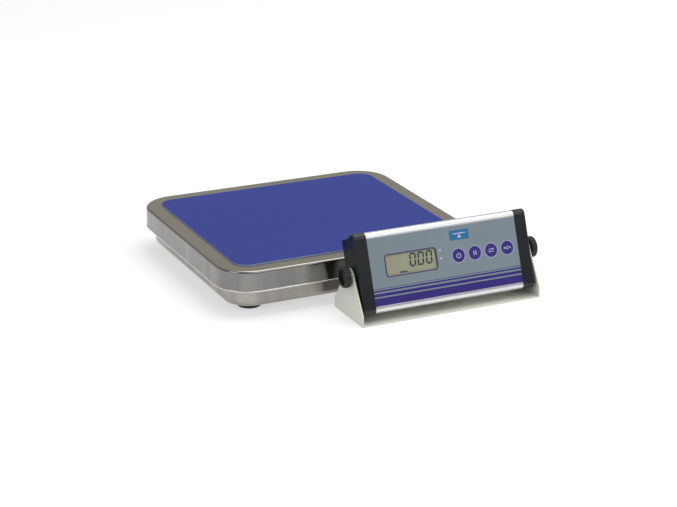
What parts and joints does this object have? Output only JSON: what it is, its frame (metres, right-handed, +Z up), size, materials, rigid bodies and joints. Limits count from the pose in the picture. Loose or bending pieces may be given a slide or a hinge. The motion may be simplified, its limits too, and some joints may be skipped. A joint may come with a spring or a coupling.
{
  "type": "animal weighing scale",
  "caption": "Low square weighing platform with a lift-off steel platter and mat, and a separate battery display tilting on a free-standing bracket.",
  "frame": {"origin": "middle of the whole object's outline on the floor that the platform's feet and the display's bracket stand on", "axes": "+Z up, +X to the right along the platform's near edge and the display's tilt axis, +Y from the display towards the platform"},
  "size_m": [0.3586, 0.373, 0.0955],
  "materials": {
    "brushed_stainless": "brushed",
    "pressed_steel": "satin",
    "zinc_fastener": "satin",
    "cast_aluminium": "satin",
    "anodised_aluminium": "satin",
    "blue_mat": "matte",
    "black_rubber": "matte",
    "cap_plastic": "satin",
    "knob_plastic": "satin",
    "black_plastic": "matte",
    "cream_paint": "satin",
    "overlay_print": "satin",
    "key_purple": "satin",
    "window_clear": "gloss",
    "lcd_glass": "gloss",
    "board_green": "satin",
    "brass": "satin",
    "cell_sleeve": "gloss",
    "vial_acrylic": "gloss",
    "nickel": "satin"
  },
  "bodies": {
    "platform": {"base_pan": "pressed_steel", "base_rails": "pressed_steel", "lower_spacer": "cast_aluminium", "load_cell": "cast_aluminium", "upper_spacer": "cast_aluminium", "lower_cell_screws": "zinc_fastener", "upper_cell_screws": "zinc_fastener", "top_frame": "cast_aluminium", "load_pads": "black_rubber", "overload_stops": "zinc_fastener", "cable_gland": "black_plastic", "level_vial": "vial_acrylic", "foot_nuts": "zinc_fastener"},
    "platter": {"platter": "brushed_stainless", "platter_ribs": "pressed_steel", "platter_cups": "pressed_steel", "mat": "blue_mat"},
    "foot_washer_1": {"foot_washer_1": "zinc_fastener"},
    "foot_1": {"foot_pad_1": "black_rubber", "foot_stud_1": "zinc_fastener"},
    "foot_washer_2": {"foot_washer_2": "zinc_fastener"},
    "foot_2": {"foot_pad_2": "black_rubber", "foot_stud_2": "zinc_fastener"},
    "foot_washer_3": {"foot_washer_3": "zinc_fastener"},
    "foot_3": {"foot_pad_3": "black_rubber", "foot_stud_3": "zinc_fastener"},
    "foot_washer_4": {"foot_washer_4": "zinc_fastener"},
    "foot_4": {"foot_pad_4": "black_rubber", "foot_stud_4": "zinc_fastener"},
    "bracket": {"bracket": "cream_paint"},
    "display": {"case": "anodised_aluminium", "cap_left": "cap_plastic", "cap_right": "cap_plastic", "cap_screws": "zinc_fastener", "pivot_inserts": "brass", "pivot_washers": "black_rubber", "overlay": "overlay_print", "window": "window_clear", "lcd_module": "lcd_glass", "circuit_board": "board_green", "key_switches": "black_plastic", "battery_tray": "black_plastic", "batteries": "cell_sleeve", "cell_socket": "nickel", "power_jack": "black_plastic", "sounder": "black_plastic"},
    "knob_washer_left": {"knob_washer_left": "zinc_fastener"},
    "knob_left": {"knob_left": "knob_plastic", "knob_stud_left": "zinc_fastener"},
    "knob_washer_right": {"knob_washer_right": "zinc_fastener"},
    "knob_right": {"knob_right": "knob_plastic", "knob_stud_right": "zinc_fastener"},
    "button_1": {"button_1": "key_purple"},
    "button_2": {"button_2": "key_purple"},
    "button_3": {"button_3": "key_purple"},
    "button_4": {"button_4": "key_purple"}
  },
  "joints": [
    {"name": "platter_lift", "type": "slide", "parent": "platform", "child": "platter", "axis": [0, 0, 1], "range_m": [0, 0.12]},
    {"name": "foot_travel_1", "type": "slide", "parent": "platform", "child": "foot_washer_1", "axis": [0, 0, -1], "range_m": [0, 0.008]},
    {"name": "foot_turn_1", "type": "hinge", "parent": "foot_washer_1", "child": "foot_1", "pos_m": [-0.1373, -0.0675, 0.01], "axis": [0, 0, -1], "range_deg": [0, 2304]},
    {"name": "foot_travel_2", "type": "slide", "parent": "platform", "child": "foot_washer_2", "axis": [0, 0, -1], "range_m": [0, 0.008]},
    {"name": "foot_turn_2", "type": "hinge", "parent": "foot_washer_2", "child": "foot_2", "pos_m": [0.0997, -0.0675, 0.01], "axis": [0, 0, -1], "range_deg": [0, 2304]},
    {"name": "foot_travel_3", "type": "slide", "parent": "platform", "child": "foot_washer_3", "axis": [0, 0, -1], "range_m": [0, 0.008]},
    {"name": "foot_turn_3", "type": "hinge", "parent": "foot_washer_3", "child": "foot_3", "pos_m": [0.0997, 0.1445, 0.01], "axis": [0, 0, -1], "range_deg": [0, 2304]},
    {"name": "foot_travel_4", "type": "slide", "parent": "platform", "child": "foot_washer_4", "axis": [0, 0, -1], "range_m": [0, 0.008]},
    {"name": "foot_turn_4", "type": "hinge", "parent": "foot_washer_4", "child": "foot_4", "pos_m": [-0.1373, 0.1445, 0.01], "axis": [0, 0, -1], "range_deg": [0, 2304]},
    {"name": "display_lift", "type": "slide", "parent": "platform", "child": "bracket", "axis": [0, 0, 1], "range_m": [0, 0.15]},
    {"name": "display_tilt", "type": "hinge", "parent": "bracket", "child": "display", "pos_m": [0.0587, -0.1525, 0.049], "axis": [-1, 0, 0], "range_deg": [-30, 30]},
    {"name": "knob_travel_left", "type": "slide", "parent": "display", "child": "knob_washer_left", "axis": [-1, 0, 0], "range_m": [0, 0.003]},
    {"name": "knob_turn_left", "type": "hinge", "parent": "knob_washer_left", "child": "knob_left", "pos_m": [-0.0573, -0.1525, 0.049], "axis": [-1, 0, 0], "range_deg": [0, 1080]},
    {"name": "knob_travel_right", "type": "slide", "parent": "display", "child": "knob_washer_right", "axis": [1, 0, 0], "range_m": [0, 0.003]},
    {"name": "knob_turn_right", "type": "hinge", "parent": "knob_washer_right", "child": "knob_right", "pos_m": [0.1747, -0.1525, 0.049], "axis": [1, 0, 0], "range_deg": [0, 1080]},
    {"name": "button_press_1", "type": "slide", "parent": "display", "child": "button_1", "axis": [0, 0.9397, -0.342], "range_m": [0, 0.0004], "stiffness_N_per_m": 2500, "springref_m": -0.0003},
    {"name": "button_press_2", "type": "slide", "parent": "display", "child": "button_2", "axis": [0, 0.9397, -0.342], "range_m": [0, 0.0004], "stiffness_N_per_m": 2500, "springref_m": -0.0003},
    {"name": "button_press_3", "type": "slide", "parent": "display", "child": "button_3", "axis": [0, 0.9397, -0.342], "range_m": [0, 0.0004], "stiffness_N_per_m": 2500, "springref_m": -0.0003},
    {"name": "button_press_4", "type": "slide", "parent": "display", "child": "button_4", "axis": [0, 0.9397, -0.342], "range_m": [0, 0.0004], "stiffness_N_per_m": 2500, "springref_m": -0.0003}
  ],
  "couplings": [
    {"joint": "foot_turn_1", "follows": "foot_travel_1", "rad_per_m": 5026.5},
    {"joint": "foot_turn_2", "follows": "foot_travel_2", "rad_per_m": 5026.5},
    {"joint": "foot_turn_3", "follows": "foot_travel_3", "rad_per_m": 5026.5},
    {"joint": "foot_turn_4", "follows": "foot_travel_4", "rad_per_m": 5026.5},
    {"joint": "knob_turn_left", "follows": "knob_travel_left", "rad_per_m": 6283.1},
    {"joint": "knob_turn_right", "follows": "knob_travel_right", "rad_per_m": 6283.1}
  ]
}
